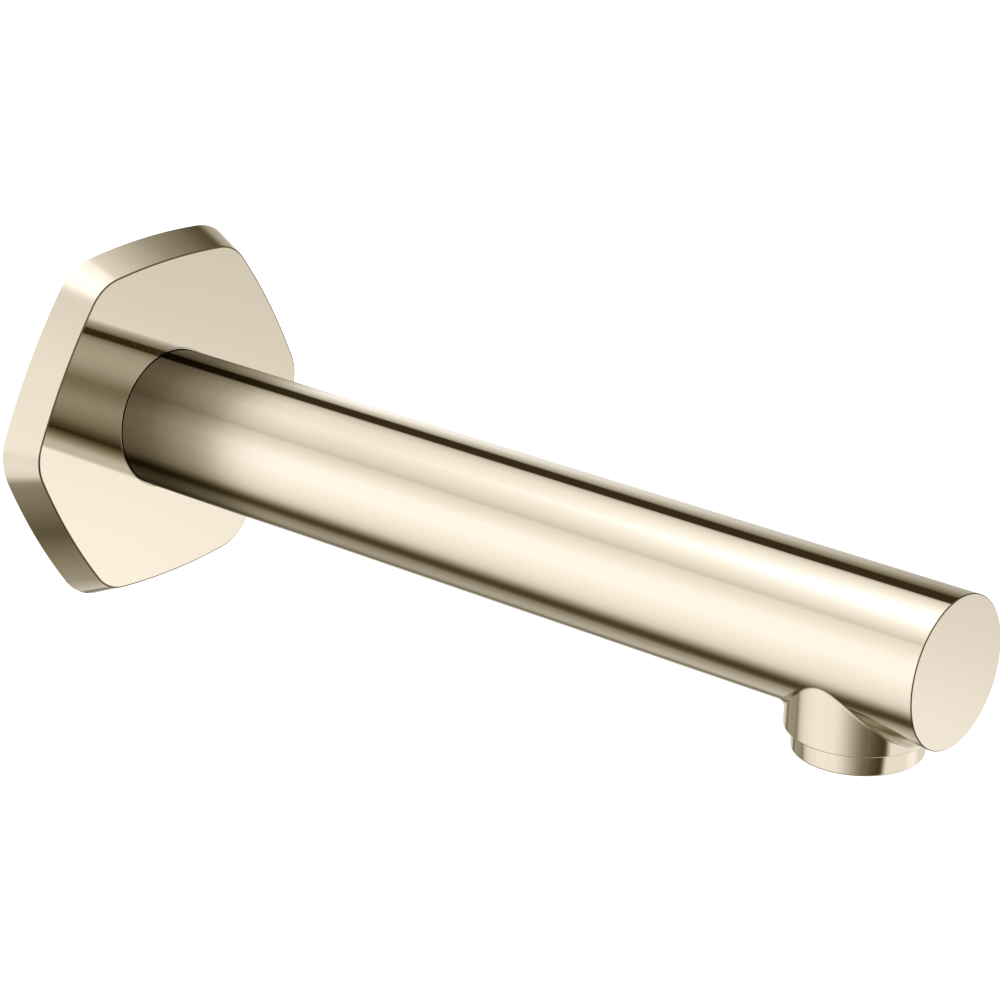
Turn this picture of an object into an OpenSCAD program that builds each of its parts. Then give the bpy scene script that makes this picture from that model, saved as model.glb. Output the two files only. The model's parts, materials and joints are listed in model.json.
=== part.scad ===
// Wall mounted bath spout with a six-sided wall plate and a screw-in aerator.
// Millimetres, +Z up. The origin is on the spout's axis, in the plane of the finished wall.
// The spout points along -Y, and the wall is on the +Y side.

/* [Spout tube] */
// Outer diameter of the round spout
tube_d = 32; // [30:0.5:42]
// Wall thickness of the spout
tube_wall = 2.5; // [2:0.1:3.5]
// From the finished wall to the flat front end
spout_length = 219.5; // [150:0.5:320]
// From the finished wall to the tube's rear end
rear_gap = 1; // [0.5:0.1:2]
// Thickness of the end cap's disc
cap_t = 2.5; // [1.5:0.1:4]
// Length of the end cap's spigot inside the tube
cap_spigot = 3; // [2:0.1:4]

/* [Outlet neck] */
// From the flat front end back to the outlet's axis
outlet_setback = 21.5; // [20:0.5:60]
// How far the rim of the neck stands below the underside of the tube
neck_stand = 2; // [1.8:0.1:10]
// Wall of the neck around the aerator's thread
neck_wall = 3.2; // [2:0.1:5]
// Bevel on the rim of the neck
neck_bevel = 0.3; // [0.1:0.05:0.8]
// Diameter of the aerator's thread
aerator_thread_d = 24; // [20:0.1:30]
// Thickness of the seat that the aerator's washer presses on
seat_t = 3; // [2:0.1:5]

/* [Wall plate] */
// From the middle of one side to the middle of the opposite one, at the front face
plate_flats = 75.6; // [68:0.2:100]
// How much wider the plate is than a regular hexagon
plate_stretch = 1.015; // [1:0.005:1.1]
// Depth of the plate, from the wall to its front face
plate_depth = 8.2; // [8:0.1:12]
// How far the skirt spreads from the front face to the wall
plate_spread = 3.6; // [1:0.1:6]
// Radius of the bowed sides
side_bow_r = 150; // [100:1:400]
// Radius of the rounded corners
corner_r = 11; // [7:0.2:18]
// Thickness of the plate's front
plate_face_t = 2.2; // [1.5:0.1:2.6]
// Wall of the skirt at its rim
rim_wall = 1.4; // [1:0.1:2.5]
// Wall of the collar around the spout
collar_wall = 3.6; // [3.2:0.1:5]
// Thickness of the foam gasket
gasket_t = 2.3; // [1.5:0.1:3]
// Width of the foam gasket
gasket_w = 4.5; // [3:0.1:6]
// How far the gasket stands out of the rim
gasket_proud = 0.3; // [0.1:0.05:0.6]

/* [Wall connection] */
// Outer diameter of the nipple's wall thread, half inch pipe
wall_thread_d = 20.955; // [16.6:0.001:26.5]
// Length of the wall thread
wall_thread_len = 12.6; // [9:0.1:20]
// Thickness of the fibre washer
flange_washer_t = 1.2; // [1:0.1:1.5]
// Thickness of the nipple's flange
flange_t = 1.3; // [1.2:0.1:1.5]
// Wall of the brass socket
socket_wall = 3; // [2.6:0.1:3.6]
// Length of the brass socket
socket_len = 30; // [28:0.5:60]
// Length of the nipple's nose
nose_len = 25; // [24:0.5:40]
// Width across the flats of the nipple's hexagon socket
nipple_key = 12; // [8:1:12]
// Depth of the hexagon socket
nipple_key_depth = 11; // [6:0.5:14]
// Thickness of the O-rings
o_ring_d = 2; // [1.5:0.1:2]
// Diameter of the set screw
set_screw_d = 4; // [3:0.5:4]
// Metal left between the set screw's hole and the end of the socket
screw_edge = 0.9; // [0.5:0.1:1]
// Width across the flats of the set screw's hexagon socket
set_screw_key = 2; // [1.5:0.5:2]

/* [Aerator] */
// How much wider the ring is than its thread, on each side
ring_lip = 1.5; // [1:0.1:2.8]
// Height of the visible ring
ring_h = 4.7; // [3:0.1:8]
// Bevel at the bottom of the ring
ring_bevel = 0.5; // [0.2:0.1:1]
// Length of the aerator's thread
aerator_thread_len = 5.6; // [4:0.1:8]
// Wall of the housing inside its thread
housing_wall = 1.1; // [0.9:0.1:1.6]
// Thickness of the rubber washer
washer_t = 1.55; // [1:0.05:2]
// Width between the holes of the outlet grid
grid_rib = 0.45; // [0.3:0.05:0.8]
// Width of one hole of the outlet grid
grid_cell = 1.9; // [1.5:0.1:3]

/* [Fits] */
// Gap between the plate's collar and the spout
plate_clear = 0.1; // [0.03:0.01:0.1]
// Gap between the nipple's nose and the socket
slip_clear = 0.07; // [0.03:0.01:0.1]
// Gap in a screw thread
thread_clear = 0.05; // [0.02:0.01:0.1]
// Gap filled by braze
braze_gap = 0.03; // [0.01:0.01:0.05]
// Gap beside a seal
seal_clear = 0.03; // [0.01:0.01:0.05]
// Gap between pieces of the aerator's cartridge
stack_gap = 0.05; // [0.02:0.01:0.1]
// Gap between the ring and the rim of the neck
ring_gap = 0.2; // [0.1:0.05:0.5]

/* [Hidden] */
$fn = 96;
tube_r = tube_d / 2;
bore_r = tube_r - tube_wall;
outlet_y = outlet_setback - spout_length;
cap_back_y = cap_t - spout_length;

thread_r = aerator_thread_d / 2;
neck_drop = tube_r + neck_stand;
neck_r = thread_r + neck_wall;
ring_r = thread_r + ring_lip;
ring_top = -neck_drop - ring_gap;
ring_bottom = ring_top - ring_h;
shank_r = thread_r - thread_clear;
shank_top = ring_top + aerator_thread_len;
washer_z = shank_top + seal_clear;
seat_z = washer_z + washer_t + seal_clear;
seat_lip = 2.2;
seat_bore_r = thread_r - seat_lip;
boss_top = seat_z + seat_t;

collar_in_r = tube_r + plate_clear;
collar_r = collar_in_r + collar_wall;
plate_a = plate_flats / 2;
spread_per_mm = plate_spread / plate_depth;
gasket_overhang = 0.8;
ledge_w = gasket_w - gasket_overhang;
ledge_y = -gasket_t;
seal_groove_w = o_ring_d + 0.4;
groove_edge = 1.3;
plate_groove_y = -gasket_proud - groove_edge - seal_groove_w / 2;

socket_r = bore_r - braze_gap;
socket_in_r = socket_r - socket_wall;
nose_r = socket_in_r - slip_clear;
flange_inset = 0.5;
flange_r = bore_r - flange_inset;
flange_back_y = -flange_washer_t;
flange_front_y = flange_back_y - flange_t;
socket_gap = 0.2;
socket_back_y = flange_front_y - socket_gap;
nose_front_y = flange_front_y - nose_len;
nipple_way_r = nipple_key / 2;
thread_relief = 0.3;
washer_clear = 0.15;
nipple_relief_r = wall_thread_d / 2 - thread_relief;
seal_root_r = socket_in_r - o_ring_d - 2 * seal_clear;
seal_ring_r = socket_in_r - seal_clear - o_ring_d / 2;
seal_setback = 10.8;
seal_spacing = 6.5;
seal_rear_y = flange_front_y - seal_setback;
seal_front_y = seal_rear_y - seal_spacing;
screw_r = set_screw_d / 2 - thread_clear;
screw_y = socket_back_y - screw_edge - set_screw_d / 2;
screw_groove_depth = 1;
screw_sink = 0.4;
screw_point = 0.8;
screw_socket_depth = 2.2;
screw_groove_r = nose_r - screw_groove_depth;
screw_head_z = screw_sink - tube_r;
screw_tip_z = -screw_groove_r - seal_clear;

cart_bore_r = shank_r - housing_wall;
cart_r = cart_bore_r - stack_gap;
cart_wall = 1.15;
cart_in_r = cart_r - cart_wall;
cart_lip = 0.8;
ledge_in = 0.9;
grid_hole_r = cart_bore_r - ledge_in;
core_r = cart_in_r - stack_gap;
flange_core_t = 0.75;
ledge_h = 1;
ledge_z = ring_bottom + ledge_h;
grid_z = ledge_z + stack_gap + cart_lip;
grid_t = 1.5;
gauze_t = 0.25;
gauze_low_z = grid_z + grid_t + stack_gap;
spacer_z = gauze_low_z + gauze_t + stack_gap;
spacer_h = 0.7;
gauze_up_z = spacer_z + spacer_h + stack_gap;
spreader_z = gauze_up_z + gauze_t + stack_gap;
spreader_h = 2;
jet_z = spreader_z + spreader_h + stack_gap;
jet_t = 0.85;
regulator_z = jet_z + jet_t + stack_gap;
strainer_z = shank_top - flange_core_t - stack_gap;
cart_top = strainer_z - stack_gap;
regulator_t = cart_top - regulator_z;
regulator_ring_share = 0.55;
regulator_ring_r = core_r * regulator_ring_share;
regulator_ring_d = 1.4;
dome_clear = 0.7;
dome_r = seat_bore_r - dome_clear;
dome_h = 3.1;
dome_wall = 0.7;
strainer_slot = 0.7;
strainer_rows = 3;
strainer_pitch = dome_r / (strainer_rows + 1);
spreader_rim = 0.9;
thread_chamfer = 0.4;
nose_chamfer = 1;

BRASS = "goldenrod";
NICKEL = "tan";
RUBBER = "dimgray";
PLASTIC = "ivory";

// A cylinder along Y between two places
module rod_y(r, y0, y1) translate([0, y0, 0]) rotate([-90, 0, 0]) cylinder(r = r, h = y1 - y0);

// A cylinder along Z between two heights
module rod_z(r, z0, z1) translate([0, 0, z0]) cylinder(r = r, h = z1 - z0);

// A ring along Z between two heights
module ring_z(r_out, r_in, z0, z1) {
    difference() {
        rod_z(r_out, z0, z1);
        rod_z(r_in, z0 - 1, z1 + 1);
    }
}

// Moves the outlet's pieces to their axis
module at_outlet() translate([0, outlet_y, 0]) children();

// A round seal about the spout's axis
module seal_y(ring_r, cord_d, y) {
    translate([0, y, 0]) rotate([90, 0, 0]) rotate_extrude()
        translate([ring_r, 0]) circle(d = cord_d, $fn = 32);
}

// Turns a drawing in X and Y into one that stands in X and Z, from y_front back to y_front + depth
module upright(y_front, depth) {
    translate([0, y_front + depth, 0]) rotate([90, 0, 0]) linear_extrude(depth) children();
}

// A hexagon with flats at the top and bottom, sides bowed to radius bow and corners rounded to corner.
// sink is how far a side's centre lies below the middle, and reach is how far a corner's centre lies out.
function soft_hexagon(apothem, bow, corner) =
    let (sink = bow - apothem,
         reach = sqrt(pow(bow - corner, 2) - pow(sink * cos(60), 2)) - sink * sin(60),
         end = atan2(reach * sin(60) + sink, reach * cos(60)),
         sides = 12,
         rounds = 6)
    [for (k = [0 : 5])
        each concat(
            [for (i = [0 : sides])
                turned([bow * cos(180 - end + i * (2 * end - 180) / sides),
                        bow * sin(180 - end + i * (2 * end - 180) / sides) - sink], -60 * k)],
            [for (i = [1 : rounds - 1])
                turned([reach * cos(60) + corner * cos(end + i * (120 - 2 * end) / rounds),
                        reach * sin(60) + corner * sin(end + i * (120 - 2 * end) / rounds)], -60 * k)])];

// Turns a point of the plate's outline and stretches it sideways
function turned(p, angle) = [(p[0] * cos(angle) - p[1] * sin(angle)) * plate_stretch,
                             p[0] * sin(angle) + p[1] * cos(angle)];

// The plate's outline, inset from the sloping skirt by inset, at the place y
module plate_outline(y, inset) {
    grow = plate_spread + spread_per_mm * y - inset;
    polygon(soft_hexagon(plate_a + grow, side_bow_r + grow, corner_r + grow));
}

// The sloping body of the plate between two places
module plate_slab(y_front, y_back, inset) {
    hull() {
        upright(y_front, 0.01) plate_outline(y_front, inset);
        upright(y_back - 0.01, 0.01) plate_outline(y_back, inset);
    }
}

module spout_body() {
    color(NICKEL) difference() {
        union() {
            rod_y(tube_r, cap_back_y, -rear_gap);
            at_outlet() rod_z(neck_r, neck_bevel - neck_drop, 0);
            at_outlet() translate([0, 0, -neck_drop])
                cylinder(r1 = neck_r - neck_bevel, r2 = neck_r, h = neck_bevel);
        }
        difference() {
            rod_y(bore_r, cap_back_y - 1, 0);
            at_outlet() rod_z(neck_r, -tube_d, boss_top);
        }
        at_outlet() rod_z(thread_r, -neck_drop - 1, seat_z);
        at_outlet() rod_z(seat_bore_r, seat_z - 1, 0);
        translate([0, screw_y, 0]) rod_z(set_screw_d / 2, -tube_d, 0);
    }
}

module end_cap() {
    color(NICKEL) union() {
        rod_y(tube_r, -spout_length, cap_back_y);
        rod_y(bore_r - braze_gap, cap_back_y - 1, cap_back_y + cap_spigot);
    }
}

module escutcheon() {
    color(NICKEL) difference() {
        union() {
            difference() {
                plate_slab(-plate_depth, -gasket_proud, 0);
                plate_slab(plate_face_t - plate_depth, 1, rim_wall + ledge_w);
                upright(ledge_y, 5) plate_outline(ledge_y, rim_wall);
            }
            rod_y(collar_r, -plate_depth + 1, -gasket_proud - 0.3);
        }
        rod_y(collar_in_r, -plate_depth - 1, 1);
        rod_y(tube_r + o_ring_d + 2 * seal_clear, plate_groove_y - seal_groove_w / 2,
              plate_groove_y + seal_groove_w / 2);
    }
}

module escutcheon_o_ring() {
    color(RUBBER) seal_y(tube_r + seal_clear + o_ring_d / 2, o_ring_d, plate_groove_y);
}

module wall_gasket() {
    color("gray") upright(ledge_y, gasket_t) difference() {
        plate_outline(ledge_y, rim_wall + seal_clear);
        plate_outline(ledge_y, rim_wall + gasket_w);
    }
}

module inlet_socket() {
    color(BRASS) difference() {
        rod_y(socket_r, socket_back_y - socket_len, socket_back_y);
        rod_y(socket_in_r, socket_back_y - socket_len - 1, socket_back_y + 1);
        translate([0, screw_y, 0]) rod_z(set_screw_d / 2, -tube_d, 0);
    }
}

module wall_nipple() {
    color(BRASS) difference() {
        union() {
            rod_y(nose_r, nose_front_y + nose_chamfer, flange_front_y + flange_t / 2);
            translate([0, nose_front_y, 0]) rotate([-90, 0, 0])
                cylinder(r1 = nose_r - nose_chamfer, r2 = nose_r, h = nose_chamfer);
            rod_y(flange_r, flange_front_y, flange_back_y);
            rod_y(nipple_relief_r, flange_back_y - flange_t / 2, 0.1);
            rod_y(wall_thread_d / 2, 0, wall_thread_len);
            translate([0, wall_thread_len, 0]) rotate([-90, 0, 0])
                cylinder(r1 = wall_thread_d / 2, r2 = wall_thread_d / 2 - nose_chamfer, h = nose_chamfer);
        }
        rod_y(nipple_way_r, nose_front_y - 1, wall_thread_len + 2);
        translate([0, nose_front_y - 1, 0]) rotate([-90, 0, 0])
            cylinder(d = nipple_key / cos(30), h = nipple_key_depth + 1, $fn = 6);
        for (y = [seal_rear_y, seal_front_y]) nose_groove(seal_root_r, y, seal_groove_w);
        nose_groove(screw_groove_r, screw_y, set_screw_d);
    }
}

// A groove around the nipple's nose
module nose_groove(root_r, y, width) {
    difference() {
        rod_y(nose_r + 1, y - width / 2, y + width / 2);
        rod_y(root_r, y - width, y + width);
    }
}

module flange_washer() {
    color("firebrick") difference() {
        rod_y(flange_r, flange_back_y, 0);
        rod_y(wall_thread_d / 2 + washer_clear, flange_back_y - 1, 1);
    }
}

module nipple_o_ring_rear() color(RUBBER) seal_y(seal_ring_r, o_ring_d, seal_rear_y);

module nipple_o_ring_front() color(RUBBER) seal_y(seal_ring_r, o_ring_d, seal_front_y);

module set_screw() {
    color("silver") translate([0, screw_y, 0]) difference() {
        union() {
            rod_z(screw_r, screw_head_z, screw_tip_z - screw_point);
            translate([0, 0, screw_tip_z - screw_point])
                cylinder(r1 = screw_r, r2 = screw_r - screw_point, h = screw_point);
        }
        translate([0, 0, screw_head_z - 1])
            cylinder(d = set_screw_key / cos(30), h = screw_socket_depth + 1, $fn = 6);
    }
}

module aerator_washer() {
    color(RUBBER) at_outlet() ring_z(thread_r - 0.4, seat_bore_r - 0.2, washer_z, washer_z + washer_t);
}

module aerator_housing() {
    color(NICKEL) at_outlet() rotate_extrude() polygon([
        [grid_hole_r, ring_bottom],
        [ring_r - ring_bevel, ring_bottom],
        [ring_r, ring_bottom + ring_bevel],
        [ring_r, ring_top - neck_bevel],
        [ring_r - neck_bevel, ring_top],
        [shank_r, ring_top],
        [shank_r, shank_top - thread_chamfer],
        [shank_r - thread_chamfer, shank_top],
        [cart_bore_r, shank_top],
        [cart_bore_r, ledge_z],
        [grid_hole_r, ledge_z]]);
}

module cartridge_body() {
    air_h = 1.2;
    air_w = 1.8;
    seat_w = 0.6;
    air_z = spreader_z + 0.4;
    color(PLASTIC) at_outlet() difference() {
        rod_z(cart_r, ledge_z, cart_top);
        rod_z(cart_in_r, ledge_z + cart_lip, cart_top + 1);
        rod_z(cart_in_r - seat_w, ledge_z - 1, cart_top);
        for (k = [0 : 11]) rotate(30 * k) translate([cart_in_r / 2, -air_w / 2, air_z])
            cube([cart_r, air_w, air_h]);
    }
}

module inlet_strainer() {
    rim_z = strainer_z + flange_core_t;
    color("lightgreen") at_outlet() difference() {
        union() {
            rod_z(cart_r, strainer_z, rim_z);
            rod_z(dome_r, strainer_z, rim_z + dome_h - 0.5);
            translate([0, 0, rim_z + dome_h - 0.5]) cylinder(r1 = dome_r, r2 = dome_r - 0.5, h = 0.5);
        }
        rod_z(dome_r - dome_wall, strainer_z - 1, rim_z + dome_h - dome_wall);
        for (k = [0 : 23]) rotate(15 * k) translate([dome_r / 2, -strainer_slot / 2, rim_z + 0.3])
            cube([dome_r, strainer_slot, dome_h - dome_wall - 0.7]);
        for (row = [1 : strainer_rows], k = [1 : 6 * row]) rotate(60 * k / row)
            translate([row * strainer_pitch, 0, rim_z])
                cylinder(d = strainer_slot, h = dome_h + 1, $fn = 16);
    }
}

module regulator_disc() {
    channel_r = regulator_ring_r + regulator_ring_d / 2 + 0.4;
    floor_t = regulator_t * 0.4;
    color("gold") at_outlet() {
        difference() {
            rod_z(core_r, regulator_z, cart_top);
            rod_z(channel_r, regulator_z + floor_t, cart_top + 1);
            for (k = [0 : 11]) rotate(30 * k) translate([regulator_ring_r, 0, regulator_z - 1])
                cylinder(r = 0.6, h = regulator_t, $fn = 24);
        }
        rod_z(regulator_ring_r - regulator_ring_d / 2 - 0.5, regulator_z, cart_top);
    }
}

module regulator_o_ring() {
    z = regulator_z + regulator_t * 0.4 + regulator_ring_d / 2 + seal_clear;
    color("orangered") at_outlet() translate([0, 0, z]) rotate_extrude()
        translate([regulator_ring_r, 0]) circle(d = regulator_ring_d, $fn = 32);
}

module jet_plate() {
    jet_hole_r = 0.45;
    color(PLASTIC) at_outlet() difference() {
        rod_z(core_r, jet_z, jet_z + jet_t);
        for (row = [0 : 1], k = [0 : 17]) rotate(20 * k + 10 * row)
            translate([core_r * (0.6 + 0.2 * row), 0, jet_z - 1])
                cylinder(r = jet_hole_r, h = jet_t + 2, $fn = 16);
    }
}

module jet_spreader() {
    hub_r = core_r * 0.42;
    color("lightblue") at_outlet() {
        ring_z(core_r, core_r - spreader_rim, spreader_z, spreader_z + spreader_h * 0.6);
        translate([0, 0, spreader_z]) cylinder(r1 = hub_r, r2 = hub_r * 0.3, h = spreader_h);
        for (k = [0 : 5]) rotate(60 * k) translate([hub_r * 0.6, -0.4, spreader_z])
            cube([core_r - 0.5 - hub_r * 0.6, 0.8, spreader_h * 0.45]);
    }
}

module mesh_upper() color("gainsboro") at_outlet() rod_z(core_r, gauze_up_z, gauze_up_z + gauze_t);

module mesh_spacer() {
    color(PLASTIC) at_outlet() ring_z(core_r, core_r - spreader_rim, spacer_z, spacer_z + spacer_h);
}

module mesh_lower() color("gainsboro") at_outlet() rod_z(core_r, gauze_low_z, gauze_low_z + gauze_t);

module outlet_grid() {
    pitch = grid_cell + grid_rib;
    rows = floor(core_r / pitch);
    color("darkslategray") at_outlet() difference() {
        rod_z(core_r, grid_z, grid_z + grid_t);
        for (a = [-rows : rows], b = [-rows : rows]) {
            x = (a + b / 2) * pitch;
            y = b * pitch * sin(60);
            if (norm([x, y]) + grid_cell / sqrt(3) < core_r - spreader_rim)
                translate([x, y, grid_z - 1]) cylinder(d = grid_cell / cos(30), h = grid_t + 2, $fn = 6);
        }
    }
}

spout_body();
end_cap();
escutcheon();
escutcheon_o_ring();
wall_gasket();
inlet_socket();
wall_nipple();
flange_washer();
nipple_o_ring_rear();
nipple_o_ring_front();
set_screw();
aerator_washer();
aerator_housing();
cartridge_body();
inlet_strainer();
regulator_disc();
regulator_o_ring();
jet_plate();
jet_spreader();
mesh_upper();
mesh_spacer();
mesh_lower();
outlet_grid();
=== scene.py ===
"""A wall-mounted bath spout with its wall plate, its threaded nipple and its screw-in aerator."""

from __future__ import annotations

import json
import logging
import math
from collections.abc import Callable
from dataclasses import dataclass
from enum import Enum

import bpy
import numpy as np
from mathutils import Matrix, Vector
from mathutils.kdtree import KDTree

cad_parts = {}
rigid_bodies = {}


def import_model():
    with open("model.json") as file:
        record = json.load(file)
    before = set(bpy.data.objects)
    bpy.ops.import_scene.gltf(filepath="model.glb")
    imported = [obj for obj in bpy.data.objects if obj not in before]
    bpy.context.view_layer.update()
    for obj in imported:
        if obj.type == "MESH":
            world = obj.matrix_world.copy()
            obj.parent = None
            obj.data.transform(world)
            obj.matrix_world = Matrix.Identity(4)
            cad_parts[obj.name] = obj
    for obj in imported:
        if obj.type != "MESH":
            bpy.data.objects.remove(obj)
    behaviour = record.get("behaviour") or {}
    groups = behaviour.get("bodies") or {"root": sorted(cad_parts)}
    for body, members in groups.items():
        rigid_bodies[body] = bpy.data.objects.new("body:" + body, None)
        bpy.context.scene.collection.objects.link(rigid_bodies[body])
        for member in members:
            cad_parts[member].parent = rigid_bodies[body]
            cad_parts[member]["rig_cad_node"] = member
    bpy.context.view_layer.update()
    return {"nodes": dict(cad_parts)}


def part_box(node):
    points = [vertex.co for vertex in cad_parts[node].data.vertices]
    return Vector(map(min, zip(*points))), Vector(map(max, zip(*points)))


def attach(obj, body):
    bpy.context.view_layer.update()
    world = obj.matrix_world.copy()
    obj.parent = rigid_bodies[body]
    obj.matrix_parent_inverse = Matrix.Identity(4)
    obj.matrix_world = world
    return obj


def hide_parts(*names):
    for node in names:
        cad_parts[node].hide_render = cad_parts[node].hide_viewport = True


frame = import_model()

MM = 0.001
LOG = logging.getLogger("bath_spout")
Outline = list[tuple[float, float]]


class Axis(Enum):
    """The direction a turned piece is turned about."""

    ALONG_SPOUT = (0.0, 1.0, 0.0)
    UPRIGHT = (0.0, 0.0, 1.0)


def middle(y: float = 0.0, z: float = 0.0) -> Vector:
    """A place in the spout's upright middle plane."""
    return Vector((0, y, z))


def quarter(steps: int) -> list[float]:
    """The angles of a quarter turn, in even steps."""
    return [math.pi / 2 * i / steps for i in range(steps + 1)]


class Bench:
    """The workbench: small jobs done with Blender's own operators."""

    DOUBLE = 0.002 * MM
    SLIVER = 0.001 * MM
    NEARLY_FLAT = 0.99

    @staticmethod
    def clear() -> None:
        """Puts everything down, so that no operator acts on a bystander."""
        bpy.ops.object.select_all(action="DESELECT")
        bpy.context.view_layer.objects.active = None

    @staticmethod
    def take(piece: bpy.types.Object) -> None:
        """Selects one piece alone and makes it active."""
        Bench.clear()
        piece.select_set(True)
        bpy.context.view_layer.objects.active = piece

    @staticmethod
    def draw(name: str, points: list[Vector], closed: bool) -> bpy.types.Object:
        """Draws a chain of edges by extruding one point from place to place.

        Args:
            name: the piece's name.
            points: the places, in metres.
            closed: joins the last place to the first.

        Returns:
            The new piece, still in edit mode with everything selected.
        """
        Bench.clear()
        bpy.ops.mesh.primitive_plane_add(size=MM, location=points[0])
        piece = bpy.context.object
        piece.name = name
        bpy.ops.object.mode_set(mode="EDIT")
        bpy.ops.mesh.select_mode(type="VERT")
        bpy.ops.mesh.merge(type="CENTER")
        for before, after in zip(points, points[1:]):
            bpy.ops.mesh.extrude_region_move(TRANSFORM_OT_translate={"value": after - before})
        if closed:
            bpy.ops.object.mode_set(mode="OBJECT")
            piece.data.vertices[0].select = True
            bpy.ops.object.mode_set(mode="EDIT")
            bpy.ops.mesh.edge_face_add()
        bpy.ops.mesh.select_all(action="SELECT")
        return piece

    @staticmethod
    def turn(name: str, outline: Outline, axis: Axis, centre: Vector, steps: int) -> bpy.types.Object:
        """Turns a closed outline about an axis, as on a lathe.

        Args:
            name: the piece's name.
            outline: places as (radius, distance along the axis), in metres.
            axis: the axis it is turned about.
            centre: a point on that axis.
            steps: how many steps one turn takes.

        Returns:
            The finished solid, in object mode, at the origin.
        """
        out = Vector((1, 0, 0))
        along = Vector(axis.value)
        points = [centre + out * r + along * h for r, h in outline]
        piece = Bench.draw(name, points, closed=outline[0][0] > 0 or outline[-1][0] > 0)
        bpy.ops.mesh.spin(steps=steps, angle=math.tau, center=centre, axis=axis.value)
        return Bench.close(piece)

    @staticmethod
    def pick(piece: bpy.types.Object, wanted: Callable[[Vector], bool]) -> None:
        """Selects, in edit mode, only the points whose places are wanted."""
        bpy.ops.object.mode_set(mode="EDIT")
        bpy.ops.mesh.select_mode(type="VERT")
        bpy.ops.mesh.select_all(action="DESELECT")
        bpy.ops.object.mode_set(mode="OBJECT")
        for vertex in piece.data.vertices:
            vertex.select = wanted(piece.matrix_world @ vertex.co)
        bpy.ops.object.mode_set(mode="EDIT")

    @staticmethod
    def close(piece: bpy.types.Object) -> bpy.types.Object:
        """Merges doubles, turns every face outwards and settles the piece at the origin."""
        bpy.ops.object.mode_set(mode="OBJECT")
        Bench.take(piece)
        bpy.ops.object.mode_set(mode="EDIT")
        bpy.ops.mesh.select_all(action="SELECT")
        bpy.ops.mesh.remove_doubles(threshold=Bench.DOUBLE)
        bpy.ops.mesh.dissolve_degenerate(threshold=Bench.SLIVER)
        bpy.ops.mesh.select_all(action="SELECT")
        bpy.ops.mesh.normals_make_consistent(inside=False)
        bpy.ops.object.mode_set(mode="OBJECT")
        bpy.ops.object.transform_apply(location=True, rotation=True, scale=True)
        return piece

    @staticmethod
    def rod(name: str, radius: float, length: float, centre: Vector, axis: Axis,
            sides: int = 96) -> bpy.types.Object:
        """A plain rod that serves as a drill or a bar for a Boolean."""
        Bench.clear()
        turn = (math.pi / 2, 0, 0) if axis is Axis.ALONG_SPOUT else (0, 0, 0)
        bpy.ops.mesh.primitive_cylinder_add(
            vertices=sides, radius=radius, depth=length, location=centre, rotation=turn
        )
        piece = bpy.context.object
        piece.name = name
        bpy.ops.object.transform_apply(location=True, rotation=True, scale=True)
        return piece

    @staticmethod
    def apply(piece: bpy.types.Object, kind: str, **settings: object) -> None:
        """Adds a modifier with its settings and applies it at once."""
        Bench.take(piece)
        modifier = piece.modifiers.new(kind.lower(), kind)
        for key, value in settings.items():
            setattr(modifier, key, value)
        bpy.ops.object.modifier_apply(modifier=modifier.name)

    @staticmethod
    def cut(piece: bpy.types.Object, tool: bpy.types.Object) -> None:
        """Cuts a tool out of a piece and throws the tool away."""
        Bench.apply(piece, "BOOLEAN", operation="DIFFERENCE", solver="EXACT", object=tool)
        bpy.data.objects.remove(tool)

    @staticmethod
    def drill(piece: bpy.types.Object, radius: float, length: float, centre: Vector, axis: Axis,
              sides: int = 96) -> None:
        """Drills a straight hole into a piece."""
        Bench.cut(piece, Bench.rod("drill", radius, length, centre, axis, sides))

    @staticmethod
    def weld(piece: bpy.types.Object, other: bpy.types.Object) -> None:
        """Joins another solid to a piece."""
        Bench.apply(piece, "BOOLEAN", operation="UNION", solver="EXACT", object=other)
        bpy.data.objects.remove(other)

    @staticmethod
    def soften(piece: bpy.types.Object, degrees: float = 32) -> None:
        """Shades a piece smooth between faces that meet at less than an angle."""
        Bench.take(piece)
        bpy.ops.object.shade_smooth_by_angle(angle=math.radians(degrees))

    @staticmethod
    def polish(piece: bpy.types.Object, degrees: float = 50) -> None:
        """Shades smooth, and keeps wide faces true beside their small rounded edges."""
        Bench.soften(piece, degrees)
        Bench.apply(piece, "WEIGHTED_NORMAL", weight=100, keep_sharp=True)

    @staticmethod
    def mark_painted_edge_shade(piece: bpy.types.Object, ahead_of: float, outside: float) -> None:
        """Marks the faces of a narrow front edge, where the finish paints a dark shade line standing in for
        the edge's dark reflection.

        Args:
            piece: the piece, turned or drawn about the spout's axis.
            ahead_of: the edge's faces lie ahead of this place along the spout.
            outside: and farther than this from the axis.
        """
        marks = [face.center.y < ahead_of and abs(face.normal.y) < Bench.NEARLY_FLAT
                 and math.hypot(face.center.x, face.center.z) > outside for face in piece.data.polygons]
        # The "edge" layer is the mask for the painted shade line.
        layer = piece.data.attributes.new("edge", "FLOAT", "FACE")
        layer.data.foreach_set("value", [float(marked) for marked in marks])

    @staticmethod
    def shape(name: str, points: np.ndarray, faces: list[tuple[int, ...]]) -> bpy.types.Object:
        """Makes a piece from its own points and faces, for forms that no operator draws."""
        mesh = bpy.data.meshes.new(name)
        mesh.from_pydata([tuple(p) for p in points.tolist()], [], faces)
        mesh.update()
        piece = bpy.data.objects.new(name, mesh)
        bpy.context.scene.collection.objects.link(piece)
        return Bench.close(piece)


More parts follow.
